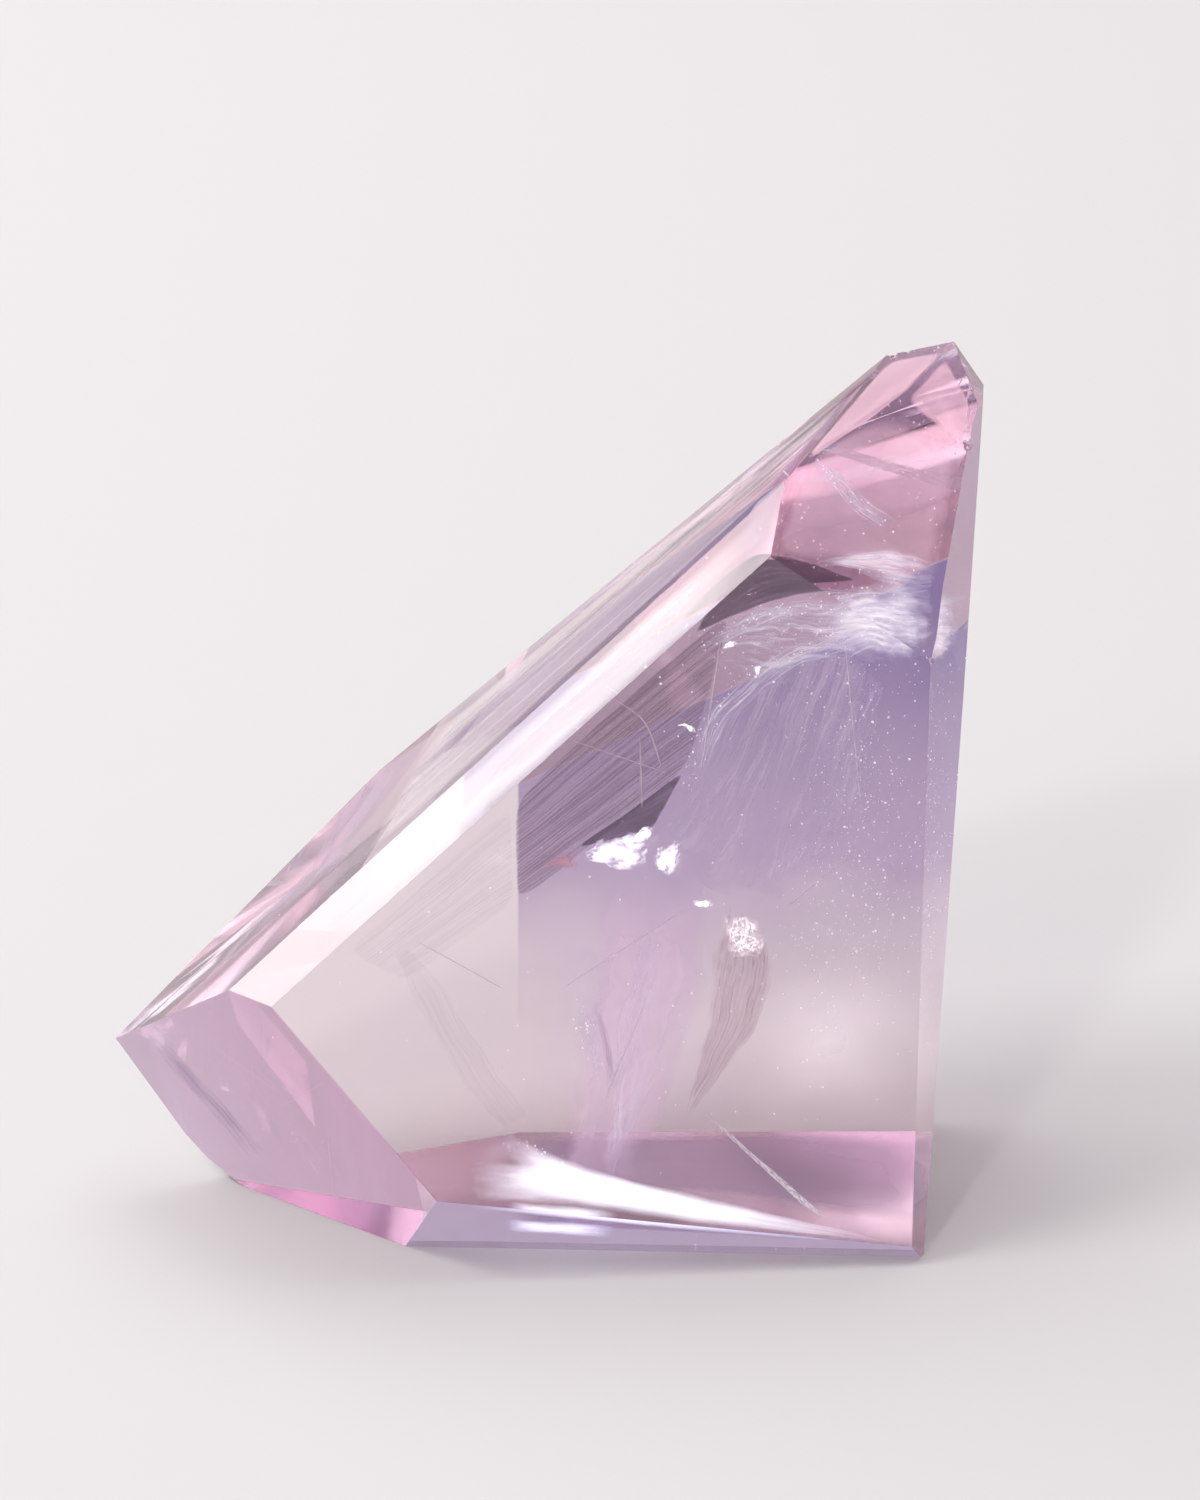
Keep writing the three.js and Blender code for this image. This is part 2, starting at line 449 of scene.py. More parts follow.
feathers = cleft_finish("white_feathers", (0.70, 0.68, 0.88), (0.97, 0.97, 1.0), 0.60, painted_glow=0.40,
                        Along=4.0, Across=14.0, Turn=0.15, Twist=0.8, Start=0.44, Full=0.66, Border=0.30,
                        Haze=0.10)
bright_gauze = cleft_finish("bright_gauze", (0.80, 0.82, 1.0), (1.0, 1.0, 1.0), 0.50, painted_glow=0.75,
                            Along=2.0, Across=12.0, Turn=0.25, Twist=0.5, Start=0.35, Full=0.70,
                            Border=0.38, Haze=0.45)
shell = cleft_finish("lilac_shell", (0.54, 0.49, 0.76), (0.88, 0.82, 1.0), 0.32, painted_glow=0.16,
                     Along=20.0, Across=1.6, Turn=0.25, Twist=0.7, Start=0.42, Full=0.62, Border=0.10,
                     Haze=0.25, Fineness=0.75)
cleft("veil_upper", feathers,
      [(7.6, 1.9, 26.1), (10.5, 2.7, 24.6), (14.0, 4.0, 25.2), (16.6, 5.1, 25.4), (18.7, 5.3, 25.2)],
      [(8.3, 2.3, 28.1), (11.1, 3.6, 29.3), (13.5, 4.9, 28.2), (16.3, 6.5, 28.0), (19.0, 7.3, 28.1)],
      ripple=0.30, seed=3.0)
cleft("veil_bright", bright_gauze,
      [(13.5, 2.4, 27.0), (16.1, 2.0, 26.3), (17.9, 2.2, 26.4), (18.9, 2.7, 26.8)],
      [(12.6, 2.9, 28.4), (15.4, 3.6, 29.6), (17.3, 4.2, 29.3), (19.1, 4.4, 29.0)],
      ripple=0.2, seed=4.0)
cleft("veil_rim", feathers,
      [(7.5, 2.1, 27.6), (9.7, 2.6, 28.7), (12.5, 3.2, 29.3), (15.2, 4.0, 28.8)],
      [(7.6, 2.0, 26.9), (9.9, 2.5, 27.7), (12.7, 3.1, 28.4), (15.3, 3.7, 28.0)],
      across=12, ripple=0.15, seed=5.0)
cleft("veil_arc_rim", feathers,
      [(7.0, -0.9, 20.9), (7.3, 0.4, 23.0), (8.9, 1.9, 25.0), (12.5, 3.6, 26.9), (18.7, 5.9, 27.4)],
      [(7.6, -0.7, 20.3), (8.2, 0.5, 22.3), (9.9, 1.9, 24.0), (13.2, 3.6, 25.6), (18.7, 5.9, 25.9)],
      ripple=0.2, seed=6.0)
cleft("veil_shell", shell,
      [(5.1, 0.4, 17.8), (7.4, 0.2, 15.1), (10.5, 0.5, 13.6), (14.1, 1.0, 16.4), (16.2, 1.6, 19.5)],
      [(7.0, 0.9, 20.9), (9.2, 2.4, 24.1), (12.5, 3.7, 25.8), (15.1, 4.0, 26.2), (16.8, 3.4, 25.4)],
      along=64, across=40, ripple=0.25, seed=8.0)
cleft("veil_top_left", feathers,
      [(12.9, 3.9, 36.5), (14.1, 3.3, 35.2), (15.4, 2.8, 34.0), (16.9, 2.6, 33.1)],
      [(13.5, 4.7, 36.4), (15.0, 4.5, 35.2), (16.2, 4.1, 34.2), (17.6, 3.9, 33.1)],
      ripple=0.15, seed=9.0)
cleft("veil_top_low", bright_gauze,
      [(13.1, 0.4, 32.5), (15.1, 1.2, 32.6), (17.1, 2.0, 32.5), (19.5, 2.3, 31.7)],
      [(13.5, 1.1, 31.8), (15.2, 1.4, 31.3), (17.3, 1.6, 30.5), (19.3, 1.9, 30.0)],
      ripple=0.15, seed=10.0)


# The curtain
# A hanging fold of pink and lilac haze down the middle of the stone, with milky blue streaks.
# It is a bundle of healed cracks that stand on edge. Its glow is painted light.

curtain = cleft_finish("pink_curtain", (0.84, 0.62, 0.86), (1.0, 0.84, 0.98), 0.42, painted_glow=0.32,
                       Along=0.6, Across=5.0, Turn=0.05, Twist=0.25, Start=0.30, Full=0.74, Border=0.26,
                       Haze=0.50, Fineness=0.3, Torn=0.15)
milky = cleft_finish("milky_streaks", (0.66, 0.66, 0.92), (0.97, 0.97, 1.0), 0.45, painted_glow=0.35,
                     Along=1.5, Across=7.0, Turn=0.05, Twist=0.8, Start=0.42, Full=0.66, Border=0.30,
                     Haze=0.1)
violet = cleft_finish("violet_streaks", (0.54, 0.46, 0.76), (0.40, 0.32, 0.68), 0.26,
                      Along=1.5, Across=5.0, Turn=0.0, Twist=0.5, Start=0.30, Full=0.60, Border=0.42,
                      Haze=0.4, Fineness=0.4)
cleft("curtain", curtain,
      [(2.5, -1.5, 15.9), (1.5, -2.9, 12.0), (0.9, -4.5, 7.2), (0.5, -7.1, 3.4), (0.9, -8.3, 1.1)],
      [(6.9, 0.3, 15.5), (8.0, -0.5, 11.5), (6.9, -2.6, 6.8), (5.1, -5.0, 3.5), (4.4, -8.7, 2.1)],
      ripple=0.5, seed=11.0)
cleft("curtain_milk", milky,
      [(4.8, 1.0, 13.3), (3.4, -0.7, 9.6), (2.6, -2.7, 5.2), (2.4, -9.4, 2.8)],
      [(5.8, -0.3, 14.2), (5.1, -2.1, 10.2), (4.7, -4.0, 5.8), (3.9, -10.3, 3.2)],
      ripple=0.3, seed=12.0)
cleft("curtain_blue_streak", milky,
      [(1.2, -6.3, 11.1), (1.5, -6.9, 9.5), (2.2, -7.2, 7.6)],
      [(1.9, -4.8, 10.4), (2.4, -5.4, 8.9), (2.7, -5.8, 6.8)],
      along=24, across=12, ripple=0.15, seed=13.0)
cleft("curtain_violet_streak", violet,
      [(2.0, -5.6, 11.0), (2.4, -6.2, 9.0), (2.9, -6.5, 6.4)],
      [(2.4, -4.6, 10.6), (2.9, -5.2, 8.6), (3.3, -5.6, 6.0)],
      along=24, across=12, ripple=0.1, seed=15.0)
cleft("curtain_left_veil", faint,
      [(-8.1, -4.3, 13.0), (-6.7, -4.9, 10.2), (-4.7, -5.6, 6.6), (-2.5, -6.1, 4.0)],
      [(-7.2, -2.7, 12.6), (-5.3, -3.3, 10.0), (-3.3, -3.9, 6.9), (-1.2, -4.7, 4.2)],
      ripple=0.2, seed=14.0)
cleft("left_tip_streak", violet,
      [(-20.3, -3.5, 7.7), (-18.7, -3.7, 5.7), (-16.8, -4.2, 3.8), (-15.1, -5.1, 1.8)],
      [(-19.4, -3.0, 8.2), (-17.3, -3.0, 6.4), (-15.4, -3.4, 4.4), (-13.6, -4.4, 2.7)],
      along=24, across=10, ripple=0.1, seed=16.0)


# The painted light and shade at the foot
# A glowing white haze just above the base is painted light: it stands in for the bright floor
# seen through the foot. A violet sheet behind it is painted shade, darkening the band above the base.

foot_painted_light = cleft_finish("foot_painted_light", (0.86, 0.86, 1.0), (1.0, 1.0, 1.0), 0.80, painted_glow=1.0,
                         Along=1.0, Across=1.0, Turn=0.0, Twist=0.3, Start=0.25, Full=0.60, Border=0.42,
                         Haze=0.85, Fineness=0.3, Torn=0.15)
# Painted light: glowing white sheets standing in for the bright floor seen through the foot.
cleft("foot_painted_light_left", foot_painted_light,
      [(-2.2, -10.4, 3.0), (2.6, -11.1, 2.4), (7.6, -11.8, 1.8)],
      [(-2.4, -7.6, 4.7), (2.0, -9.8, 3.7), (7.5, -11.7, 2.9)],
      along=24, across=12, ripple=0.05, seed=17.0)
cleft("foot_painted_light_long", foot_painted_light,
      [(-4.0, -13.2, 3.4), (0.6, -12.3, 2.7), (7.6, -12.5, 1.8), (16.9, -12.8, 0.9)],
      [(-4.1, -9.7, 4.1), (0.4, -9.8, 3.8), (7.5, -11.6, 3.0), (16.9, -13.1, 1.2)],
      along=32, across=12, ripple=0.05, seed=18.0)
cleft("foot_painted_light_front", foot_painted_light,
      [(-2.2, -11.5, 1.4), (0.2, -11.6, 1.2), (3.4, -11.7, 1.0)],
      [(-2.2, -11.2, 2.6), (0.2, -11.3, 2.4), (3.4, -11.6, 2.2)],
      along=24, across=12, ripple=0.05, seed=20.0)
# Painted shade: a violet sheet that darkens the band above the base.
foot_shade = cleft_finish("foot_shade", (0.66, 0.52, 0.68), (0.50, 0.40, 0.56), 0.50, painted_glow=0.10,
                          Along=1.0, Across=2.0, Turn=0.0, Twist=0.3, Start=0.25, Full=0.70, Border=0.14,
                          Haze=0.75, Fineness=0.3, Torn=0.05)
cleft("foot_painted_shade", foot_shade,
      [(-1.9, -7.6, 1.9), (4.4, -8.2, 1.6), (11.6, -9.2, 1.2), (19.4, -11.4, 0.6)],
      [(-2.0, -4.5, 3.1), (4.4, -4.8, 3.1), (11.5, -4.3, 3.1), (19.6, -5.0, 3.1)],
      along=32, across=12, ripple=0.05, seed=19.0)


# The milky layers and painted light
# Thin milky layers just under the long bevel and the upper back, rose ones in the tip, a lilac
# one in the middle and a pale one low on the right. The ones under the long bevel, in the tip and
# low on the right are painted light, brightening the stone where light shines through it. The
# milky layer under the upper back and the lilac one are bubbles finer than dust. All of them glow,
# and that glow is painted light.

bevel_painted_light = cleft_finish("bevel_milk_painted_light", (0.93, 0.84, 0.88), (1.0, 0.94, 0.96), 0.34, painted_glow=0.42,
                         Along=3.0, Across=2.0, Turn=0.0, Twist=0.5, Start=0.25, Full=0.75, Border=0.22,
                         Haze=0.55, Fineness=0.6, Torn=0.2)
rose_painted_light = cleft_finish("rose_painted_light", (0.98, 0.56, 0.72), (1.0, 0.68, 0.80), 0.42, painted_glow=0.50,
                         Along=2.0, Across=2.0, Turn=0.3, Twist=0.4, Start=0.25, Full=0.75, Border=0.07,
                         Haze=0.75, Fineness=0.4, Torn=0.05)
tip_blush_painted_light = cleft_finish("tip_blush_painted_light", (0.98, 0.60, 0.76), (1.0, 0.72, 0.84), 0.22, painted_glow=0.50,
                         Along=2.0, Across=2.0, Turn=0.3, Twist=0.4, Start=0.25, Full=0.75, Border=0.12,
                         Haze=0.70, Fineness=0.4, Torn=0.1)
lilac_haze = cleft_finish("lilac_haze", (0.74, 0.62, 0.94), (0.86, 0.76, 1.0), 0.16, painted_glow=0.35,
                          Along=1.0, Across=4.0, Turn=0.0, Twist=0.4, Start=0.30, Full=0.70, Border=0.40,
                          Haze=0.5, Fineness=0.4, Torn=0.3)
back_milk = cleft_finish("back_milk", (0.92, 0.76, 0.80), (1.0, 0.92, 0.91), 0.34, painted_glow=0.32,
                         Along=1.0, Across=9.0, Turn=0.0, Twist=0.4, Start=0.30, Full=0.66, Border=0.08,
                         Haze=0.25, Fineness=0.5, Torn=0.1)
pale_painted_light = cleft_finish("pale_painted_light", (0.98, 0.92, 0.96), (1.0, 0.96, 0.98), 0.42, painted_glow=0.60,
                          Along=1.0, Across=1.0, Turn=0.0, Twist=0.3, Start=0.25, Full=0.70, Border=0.62,
                          Haze=0.80, Fineness=0.3, Torn=0.1)
# Painted light: a glowing milky sheet that brightens the long bevel.
cleft("bevel_milk_painted_light", bevel_painted_light,
      [(-10.0, -9.3, 16.5), (-4.0, -6.9, 21.3), (3.0, -4.0, 26.9), (10.9, -0.9, 33.0)],
      [(-10.0, -6.7, 18.4), (-4.0, -4.4, 23.2), (3.5, -1.4, 29.3), (11.6, 2.2, 35.8)],
      ripple=0.05, seed=24.0)
# Painted light: glowing rose sheets that brighten the tip.
cleft("tip_painted_light_top", rose_painted_light,
      [(13.2, 4.0, 36.6), (17.8, 8.0, 38.4), (20.3, 10.9, 39.8)],
      [(13.1, 4.1, 36.7), (15.2, 7.1, 38.2), (17.3, 10.0, 39.6)],
      along=24, across=16, ripple=0.05, seed=25.0)
cleft("tip_painted_light_right", rose_painted_light,
      [(18.1, 7.9, 38.2), (19.8, 7.3, 37.0), (21.0, 6.8, 36.2)],
      [(20.2, 10.9, 39.4), (20.9, 9.8, 38.4), (21.4, 9.0, 37.6)],
      along=24, across=16, ripple=0.05, seed=26.0)
cleft("lilac_haze", lilac_haze,
      [(-1.2, -4.7, 3.4), (2.3, -4.4, 3.3), (5.9, -4.3, 3.2), (9.2, -4.2, 3.1)],
      [(-1.3, 0.4, 14.4), (2.3, 0.7, 14.9), (5.9, 0.8, 14.8), (9.4, 0.5, 13.8)],
      ripple=0.2, seed=29.0)
cleft("upper_back_milk", back_milk,
      [(-9.5, -6.0, 18.3), (0.5, -1.6, 26.6), (11.5, 3.2, 35.5)],
      [(-6.0, 7.0, 19.8), (5.2, 8.4, 29.3), (16.4, 9.8, 38.6)],
      ripple=0.05, seed=30.0)
# Painted light: a glowing rose sheet that brightens the front of the tip.
cleft("tip_blush_painted_light_front", tip_blush_painted_light,
      [(11.0, 0.2, 32.5), (14.2, 0.6, 31.9), (19.4, 1.6, 30.3)],
      [(12.8, 4.5, 36.1), (16.7, 7.6, 37.3), (20.8, 7.5, 35.6)],
      along=24, across=16, ripple=0.05, seed=27.0)
# Painted light: a glowing pale sheet that brightens the lower right.
cleft("pale_painted_light_right", pale_painted_light,
      [(9.0, -6.7, 4.4), (12.1, -6.7, 4.0), (15.1, -6.6, 3.9), (18.2, -6.4, 3.8)],
      [(10.4, -3.8, 11.9), (13.1, -3.3, 12.8), (15.8, -3.2, 12.7), (18.6, -3.4, 11.8)],
      along=24, across=16, ripple=0.1, seed=28.0)


# The leaf and the flakes
# A leaf-shaped crack, brown-pink and finely lined, with open patches that shine like silver
# where air has got in; that shine is partly a real metallic sheen and partly a painted white
# glint. Flakes of the same kind lie above it, white with a strong glow that is a painted glint.

leaf = cleft_finish("brown_leaf", (0.95, 0.70, 0.80), (0.44, 0.26, 0.34), 0.38, painted_glow=0.16, roughness=0.3,
                    Along=3.0, Across=34.0, Turn=0.22, Twist=1.1, Start=0.46, Full=0.64, Border=0.16,
                    Haze=0.42, Fineness=0.75, Torn=0.5)
# The silver patches are partly metallic and partly a painted white glint.
silver_and_painted_glint = cleft_finish("silver_flake_painted_glint", (0.56, 0.44, 0.54), (1.0, 1.0, 1.0), 0.80, painted_glow=0.75,
                      roughness=0.22, metallic=0.4,
                      Along=14.0, Across=18.0, Turn=0.4, Twist=0.6, Start=0.42, Full=0.58, Border=0.30,
                      Haze=0.35)
# Painted glint: white flakes with a strong glow.
painted_glint_flake = cleft_finish("painted_glint_flake", (0.86, 0.88, 1.0), (1.0, 1.0, 1.0), 0.9, painted_glow=1.5, roughness=0.2,
                     Along=5.0, Across=4.0, Turn=0.0, Twist=1.5, Start=0.25, Full=0.55, Border=0.45,
                     Torn=0.8)
salmon = cleft_finish("salmon_flake", (0.95, 0.50, 0.60), (1.0, 0.62, 0.70), 0.45, painted_glow=0.12,
                      Along=3.0, Across=3.0, Turn=0.0, Twist=0.6, Start=0.25, Full=0.50, Border=0.34,
                      Haze=0.7, Torn=0.3)
cleft("leaf", leaf,
      [(8.7, -3.2, 15.2), (8.1, -3.7, 12.1), (7.5, -4.5, 8.3), (6.7, -5.3, 4.6)],
      [(9.6, -1.8, 14.2), (11.1, -1.1, 11.8), (10.3, -2.7, 8.3), (7.0, -4.9, 4.3)],
      ripple=0.2, seed=21.0)
cleft("leaf_silver", silver_and_painted_glint,
      [(8.5, -4.1, 15.1), (8.6, -4.4, 13.9), (9.1, -4.5, 12.8)],
      [(9.8, -3.2, 15.1), (10.8, -3.2, 13.6), (10.6, -3.4, 12.4)],
      along=32, across=24, ripple=0.3, ripple_size=0.5, seed=22.0)
cleft("salmon_flake", salmon,
      [(-0.6, -0.6, 16.3), (0.3, -0.4, 16.8), (1.2, -0.4, 17.0)],
      [(-0.6, -0.6, 16.2), (0.3, -0.3, 16.0), (1.2, -0.2, 15.7)],
      along=16, across=10, ripple=0.05, seed=23.0)
FLAKES = [
    ([(1.5, -0.6, 17.1), (3.0, -0.3, 17.8), (4.9, -0.2, 17.8)],
     [(1.6, -0.2, 16.4), (3.1, -0.3, 15.9), (4.7, -0.2, 16.0)]),
    ([(5.1, -0.6, 16.9), (5.7, -0.4, 17.4), (6.5, -0.3, 17.5)],
     [(5.1, -0.3, 15.9), (5.8, -0.3, 15.6), (6.4, -0.1, 16.0)]),
    ([(3.9, -0.6, 17.7), (4.3, -0.5, 18.1), (4.9, -0.4, 18.5)],
     [(4.3, -0.5, 17.3), (4.7, -0.4, 17.6), (5.2, -0.3, 18.1)]),
    ([(6.3, 0.3, 23.8), (6.8, 0.3, 23.7), (7.3, 0.3, 23.4)],
     [(6.3, 0.7, 23.5), (6.8, 0.6, 23.3), (7.3, 0.6, 23.1)]),
    ([(10.2, 1.5, 26.4), (10.4, 1.6, 26.4), (10.6, 1.6, 26.3)],
     [(10.2, 1.8, 25.8), (10.4, 1.8, 25.7), (10.5, 1.9, 25.8)]),
    ([(7.1, -2.4, 15.2), (7.6, -2.4, 15.2), (8.1, -2.4, 15.1)],
     [(7.1, -2.4, 14.9), (7.6, -2.4, 14.8), (8.1, -2.4, 14.8)]),
    ([(8.5, 2.2, 27.1), (8.8, 2.3, 27.3), (9.3, 2.4, 27.4)],
     [(8.6, 2.2, 26.9), (8.9, 2.3, 27.0), (9.3, 2.4, 27.2)]),
]
for number, (low, high) in enumerate(FLAKES):
    cleft(f"flake_{number + 1}", painted_glint_flake, low, high, along=20, across=12, ripple=0.14, ripple_size=0.45,
          seed=30.0 + number)


# The needles
# Hair-fine needles of other minerals, nearly all straight, caught as the crystal grew.
# A wider fuzzy spear of them runs down to the lower right. Both glow faintly in their own colour, which is
# painted light.

NEEDLES = [
    ([(0.9, -0.5, 23.2), (5.7, 0.8, 20.8)], 0.018), ([(4.4, 0.7, 22.8), (4.5, 0.0, 19.2)], 0.03),
    ([(3.2, 0.2, 25.1), (4.7, 0.6, 23.6), (5.5, 0.3, 21.3)], 0.035),
    ([(-6.9, -4.5, 13.9), (-2.5, -3.3, 10.6)], 0.015),
    ([(0.4, -5.3, 11.5), (7.0, -2.5, 14.9)], 0.015), ([(12.0, -3.0, 15.1), (15.1, -1.1, 17.1)], 0.02),
    ([(14.1, 2.2, 27.0), (17.5, 4.3, 28.1)], 0.03), ([(14.8, 2.7, 27.3), (15.6, 0.7, 19.3)], 0.025),
    ([(7.5, -0.6, 21.5), (8.5, 2.2, 27.5)], 0.03), ([(5.0, -5.1, 11.4), (2.4, -6.9, 5.5)], 0.02),
]
NEEDLE_STEPS = 16
NEEDLE_SIDES = 6
NEEDLE_LOOK_AHEAD = 0.02
NEEDLE_SAME_POINT = 0.0004 * MM
NEEDLE_TAPER = 4
MOTTLE_SHEEN = 0.35


def needle(line, radius):
    """A thin rod with pointed ends along a line of points, in millimetres."""
    bpy.ops.object.select_all(action="DESELECT")
    bpy.ops.mesh.primitive_grid_add(x_subdivisions=NEEDLE_STEPS, y_subdivisions=NEEDLE_SIDES, size=1)
    rod = bpy.context.object
    for vertex in rod.data.vertices:
        share, turn = vertex.co.x + 0.5, (vertex.co.y + 0.5) * 2 * pi
        ahead = along_rail(line, min(1.0, share + NEEDLE_LOOK_AHEAD))
        behind = along_rail(line, max(0.0, share - NEEDLE_LOOK_AHEAD))
        axis = (ahead - behind).normalized()
        side = axis.orthogonal().normalized()
        width = radius * max(0.0, 1 - (2 * share - 1) ** NEEDLE_TAPER)
        point = along_rail(line, share) + (side * cos(turn) + axis.cross(side) * sin(turn)) * width
        vertex.co = keep_inside(point) * MM
    only(rod)
    bpy.ops.object.mode_set(mode="EDIT")
    bpy.ops.mesh.select_all(action="SELECT")
    bpy.ops.mesh.remove_doubles(threshold=NEEDLE_SAME_POINT)
    bpy.ops.mesh.normals_make_consistent(inside=False)
    bpy.ops.object.mode_set(mode="OBJECT")
    return rod


def joined(name, parts, finish):
    """The parts as one piece of the stone."""
    bpy.ops.object.select_all(action="DESELECT")
    for part in parts:
        part.select_set(True)
    bpy.context.view_layer.objects.active = parts[0]
    bpy.ops.object.join()
    piece = bpy.context.object
    piece.name = name
    piece.data.materials.clear()
    piece.data.materials.append(finish)
    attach(piece, "root")


def mottle_group():
    """Two shades of one mineral, mixed in cloudy spots of a given grain."""
    group = bpy.data.node_groups.new("mottle", "ShaderNodeTree")
    group.interface.new_socket(name="Low", in_out="INPUT", socket_type="NodeSocketColor")
    group.interface.new_socket(name="High", in_out="INPUT", socket_type="NodeSocketColor")
    group.interface.new_socket(name="Grain", in_out="INPUT", socket_type="NodeSocketFloat")
    group.interface.new_socket(name="Colour", in_out="OUTPUT", socket_type="NodeSocketColor")
    made = group.nodes
    link = group.links.new
    given, result = made.new("NodeGroupInput"), made.new("NodeGroupOutput")
    where = made.new("ShaderNodeTexCoord")
    spots = made.new("ShaderNodeTexNoise")
    link(where.outputs["Object"], spots.inputs["Vector"])
    link(given.outputs["Grain"], spots.inputs["Scale"])
    mixed = made.new("ShaderNodeMix")
    mixed.data_type = "RGBA"
    link(spots.outputs["Fac"], mixed.inputs["Factor"])
    link(given.outputs["Low"], mixed.inputs["A"])
    link(given.outputs["High"], mixed.inputs["B"])
    link(mixed.outputs["Result"], result.inputs["Colour"])
    return group


mottle = mottle_group()


def mineral_finish(name, low_colour, high_colour, grain, painted_glow):
    """A pale mineral, mottled in two shades, with a painted glow in its own colour."""
    finish = bpy.data.materials.new(name)
    finish.use_nodes = True
    made = finish.node_tree.nodes
    link = finish.node_tree.links.new
    surface = made["Principled BSDF"]
    spotted = made.new("ShaderNodeGroup")
    spotted.node_tree = mottle
    spotted.inputs["Low"].default_value = (*low_colour, 1)
    spotted.inputs["High"].default_value = (*high_colour, 1)
    spotted.inputs["Grain"].default_value = grain
    link(spotted.outputs["Colour"], surface.inputs["Base Color"])
    # Painted light: the mineral glows in its own colour.
    link(spotted.outputs["Colour"], surface.inputs["Emission Color"])
    surface.inputs["Emission Strength"].default_value = painted_glow
    surface.inputs["Roughness"].default_value = MOTTLE_SHEEN
    return finish


pale_needle = mineral_finish("pale_needles", (0.70, 0.60, 0.68), (0.98, 0.90, 0.95), 900.0, 0.15)
joined("needles", [needle(line, radius) for line, radius in NEEDLES], pale_needle)
spear = cleft_finish("fuzzy_spear", (0.85, 0.84, 0.92), (0.97, 0.96, 1.0), 0.9, painted_glow=0.2,
                     Along=30.0, Across=6.0, Turn=0.0, Twist=0.4, Start=0.30, Full=0.60, Border=0.12)
cleft("needle_spear", spear,
      [(7.4, -4.5, 4.5), (9.5, -6.9, 3.7), (12.1, -10.5, 3.0), (13.9, -12.3, 2.1)],
      [(8.0, -4.0, 3.6), (10.1, -7.2, 2.9), (12.5, -10.8, 2.3), (13.8, -12.3, 2.0)],
      ripple=0.05, seed=40.0)


# The specks
# Over a thousand bright pinpoint inclusions, thickest in the stone's right half. Each is a
# crumb of mineral or a bubble that the crystal closed over. Their white glow is a painted glint.

SPECK_CLOUDS = [((15.8, 1.5, 20.0), (1.6, 3.0, 4.5), 380), ((15.0, -1.0, 13.0), (2.0, 3.5, 4.0), 300),
                ((10.0, -2.0, 12.0), (5.0, 4.0, 7.0), 120), ((12.0, 3.0, 26.5), (4.0, 1.5, 1.5), 110),
                ((-4.0, -2.0, 11.0), (7.0, 3.5, 5.0), 50)]
SPECK_RIMS = [
    ([(7.4, 2.1, 27.3), (9.8, 2.5, 28.3), (12.6, 3.2, 28.9), (15.3, 3.9, 28.5)], 70),
    ([(7.1, -0.9, 20.9), (7.4, 0.4, 23.0), (9.0, 1.9, 25.0), (12.5, 3.6, 26.8), (17.0, 5.0, 27.3)], 90),
    ([(1.3, -6.0, 11.0), (1.7, -6.6, 9.4), (2.3, -7.0, 7.6)], 24),
    ([(-2.4, -9.0, 4.6), (-1.4, -8.8, 4.4), (0.4, -9.2, 3.8)], 24),
    ([(13.4, 4.2, 36.3), (14.6, 3.9, 35.1), (15.8, 3.4, 34.0), (17.2, 3.2, 33.0)], 30),
    ([(13.0, 0.9, 31.9), (15.3, 1.5, 31.6), (18.6, 2.1, 31.0)], 24),
]
RIM_SPREAD = 0.22
SPECK_RADIUS = 0.022
LEAST_SPECK = 0.7
SPECK_RANGE = 2.2
SPECK_RARITY = 4
SPECK_LEAST_CORNER = 0.8
SPECK_CORNER_RANGE = 0.4
SPECK_DRAWS = 7
# Painted glint: the specks glow white.
speck_painted_glint = mineral_finish("white_specks_painted_glint", (0.85, 0.85, 0.92), (1.0, 1.0, 1.0), 500.0, 0.80)
draw = Random(SPECK_DRAWS)
bpy.ops.object.select_all(action="DESELECT")
bpy.ops.mesh.primitive_ico_sphere_add(subdivisions=1, radius=1.0)
first_speck = bpy.context.object
specks = []
spots = []
for centre, spread, count in SPECK_CLOUDS:
    for _ in range(count):
        spots.append(Vector([draw.gauss(c, s) for c, s in zip(centre, spread)]))
for rim, count in SPECK_RIMS:
    for _ in range(count):
        drift = Vector([draw.gauss(0, RIM_SPREAD) for _ in range(3)])
        spots.append(along_rail(rim, draw.random()) + drift)
for spot in spots:
    spot = keep_inside(spot)
    radius = SPECK_RADIUS * (LEAST_SPECK + draw.random() ** SPECK_RARITY * SPECK_RANGE)
    speck = bpy.data.objects.new("speck", first_speck.data.copy())
    bpy.context.scene.collection.objects.link(speck)
    for vertex in speck.data.vertices:
        corner = SPECK_LEAST_CORNER + SPECK_CORNER_RANGE * draw.random()
        vertex.co = (spot + vertex.co * radius * corner) * MM
    specks.append(speck)
bpy.data.objects.remove(first_speck)
joined("specks", specks, speck_painted_glint)


# The floor, the light and the camera
# A plain pale floor, large soft lamps, and the camera at the height and distance of the picture.

FLOOR_SIZE = 6.0
FLOOR_DROP = 0.05 * MM
FLOOR_COLOUR = (0.64, 0.63, 0.625, 1)
bpy.ops.object.select_all(action="DESELECT")
bpy.ops.mesh.primitive_plane_add(size=FLOOR_SIZE, location=(0, 0, -FLOOR_DROP))
floor = bpy.context.object
floor.name = "floor"
paper = bpy.data.materials.new("pale_floor")
paper.use_nodes = True
paper.node_tree.nodes["Principled BSDF"].inputs["Base Color"].default_value = FLOOR_COLOUR
paper.node_tree.nodes["Principled BSDF"].inputs["Roughness"].default_value = 0.85
floor.data.materials.append(paper)
floor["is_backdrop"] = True

AIM = Vector((2.56, -4.99, 24.6)) * MM
CAMERA_HEIGHT = radians(24.5)
CAMERA_DISTANCE = 322 * MM
CAMERA_LENS = 154.6
PICTURE_HEIGHT_ON_SENSOR = 36.0
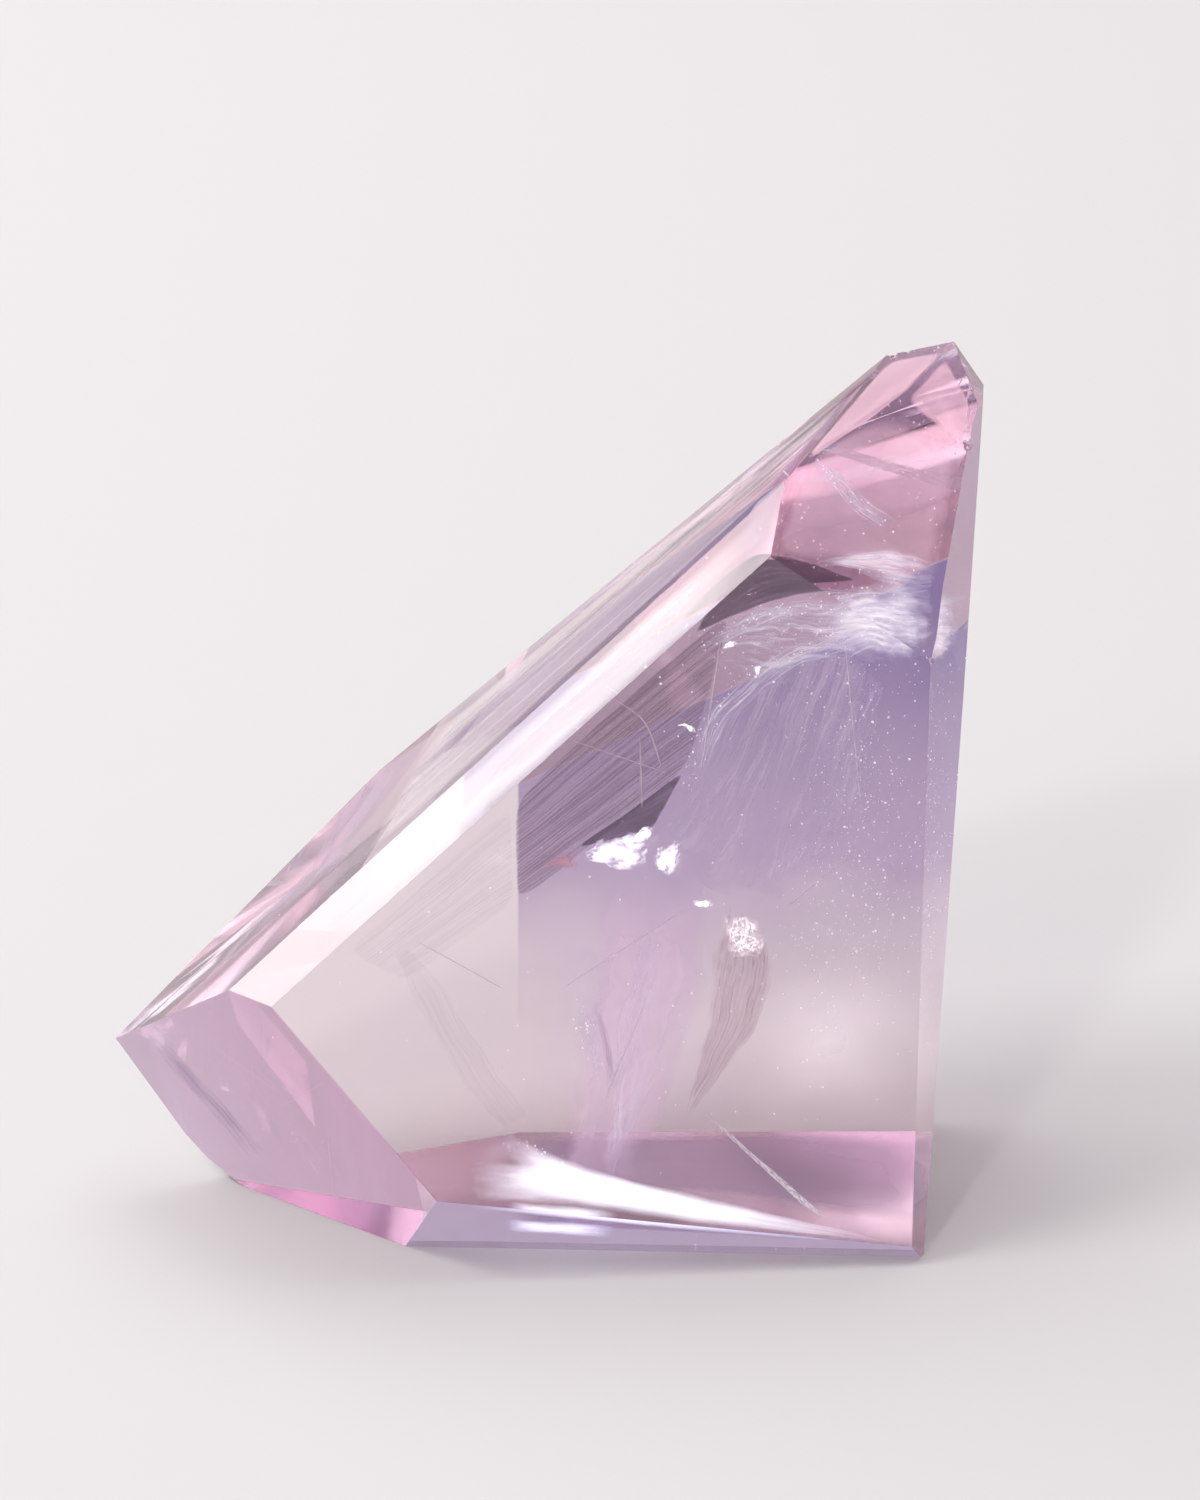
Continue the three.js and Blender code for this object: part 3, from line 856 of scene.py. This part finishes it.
NEAREST_SEEN = 10 * MM
LAMP_AIM_HEIGHT = 15 * MM
HORIZON = (0.86, 0.78, 0.86, 1)
OVERHEAD = (0.36, 0.34, 0.37, 1)
EXPOSURE = -0.28
towards_camera = Vector((0, -cos(CAMERA_HEIGHT), sin(CAMERA_HEIGHT)))

camera_data = bpy.data.cameras.new("camera")
camera_data.sensor_fit = "VERTICAL"
camera_data.sensor_height = PICTURE_HEIGHT_ON_SENSOR
camera_data.lens = CAMERA_LENS
camera_data.clip_start = NEAREST_SEEN
camera = bpy.data.objects.new("camera", camera_data)
bpy.context.scene.collection.objects.link(camera)
camera.location = AIM + towards_camera * CAMERA_DISTANCE
camera.rotation_euler = (-towards_camera).to_track_quat("-Z", "Y").to_euler()
bpy.context.scene.camera = camera


def lamp(name, azimuth, height, distance, size, radiance, colour):
    """A square soft lamp round the stone: azimuth 0 is behind it, 90 to its right."""
    data = bpy.data.lights.new(name, "AREA")
    data.shape = "SQUARE"
    data.size = size
    data.energy = radiance * pi * size * size
    data.color = colour
    lamp_object = bpy.data.objects.new(name, data)
    bpy.context.scene.collection.objects.link(lamp_object)
    a, h = radians(azimuth), radians(height)
    out = Vector((sin(a) * cos(h), cos(a) * cos(h), sin(h)))
    lamp_object.location = out * distance + Vector((0, 0, LAMP_AIM_HEIGHT))
    lamp_object.rotation_euler = (-out).to_track_quat("-Z", "Y").to_euler()
    lamp_object.visible_camera = False


lamp("soft_back_left", -49, 43, 0.9, 0.9, 2.3, (1.0, 0.98, 0.97))
lamp("key_left", -92, 52, 0.8, 0.34, 7.8, (1.0, 0.98, 0.96))
lamp("soft_top", 20, 60, 1.0, 0.7, 2.4, (0.97, 0.97, 1.0))
lamp("fill_left", -146, 43, 0.9, 0.42, 2.4, (1.0, 0.98, 0.97))
lamp("edge_glint", -155, 48, 0.6, 0.05, 60.0, (1.0, 0.99, 0.97))

world = bpy.data.worlds.new("studio")
world.use_nodes = True
room = world.node_tree.nodes
direction = room.new("ShaderNodeTexCoord")
upwards = room.new("ShaderNodeSeparateXYZ")
world.node_tree.links.new(direction.outputs["Generated"], upwards.inputs["Vector"])
walls = room.new("ShaderNodeValToRGB")
walls.color_ramp.elements[0].position = 0.10
walls.color_ramp.elements[0].color = HORIZON
walls.color_ramp.elements[1].position = 0.60
walls.color_ramp.elements[1].color = OVERHEAD
world.node_tree.links.new(upwards.outputs["Z"], walls.inputs["Fac"])
world.node_tree.links.new(walls.outputs["Color"], room["Background"].inputs["Color"])
room["Background"].inputs["Strength"].default_value = 1.0
bpy.context.scene.world = world

bpy.context.scene.view_settings.view_transform = "Standard"
bpy.context.scene.view_settings.exposure = EXPOSURE
bpy.context.scene.cycles.max_bounces = 12
bpy.context.scene.cycles.diffuse_bounces = 2
bpy.context.scene.cycles.transmission_bounces = 12
bpy.context.scene.cycles.glossy_bounces = 8
bpy.context.scene.cycles.transparent_max_bounces = 20
bpy.context.scene.cycles.sample_clamp_indirect = 0

bpy.context.view_layer.update()
low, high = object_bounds()
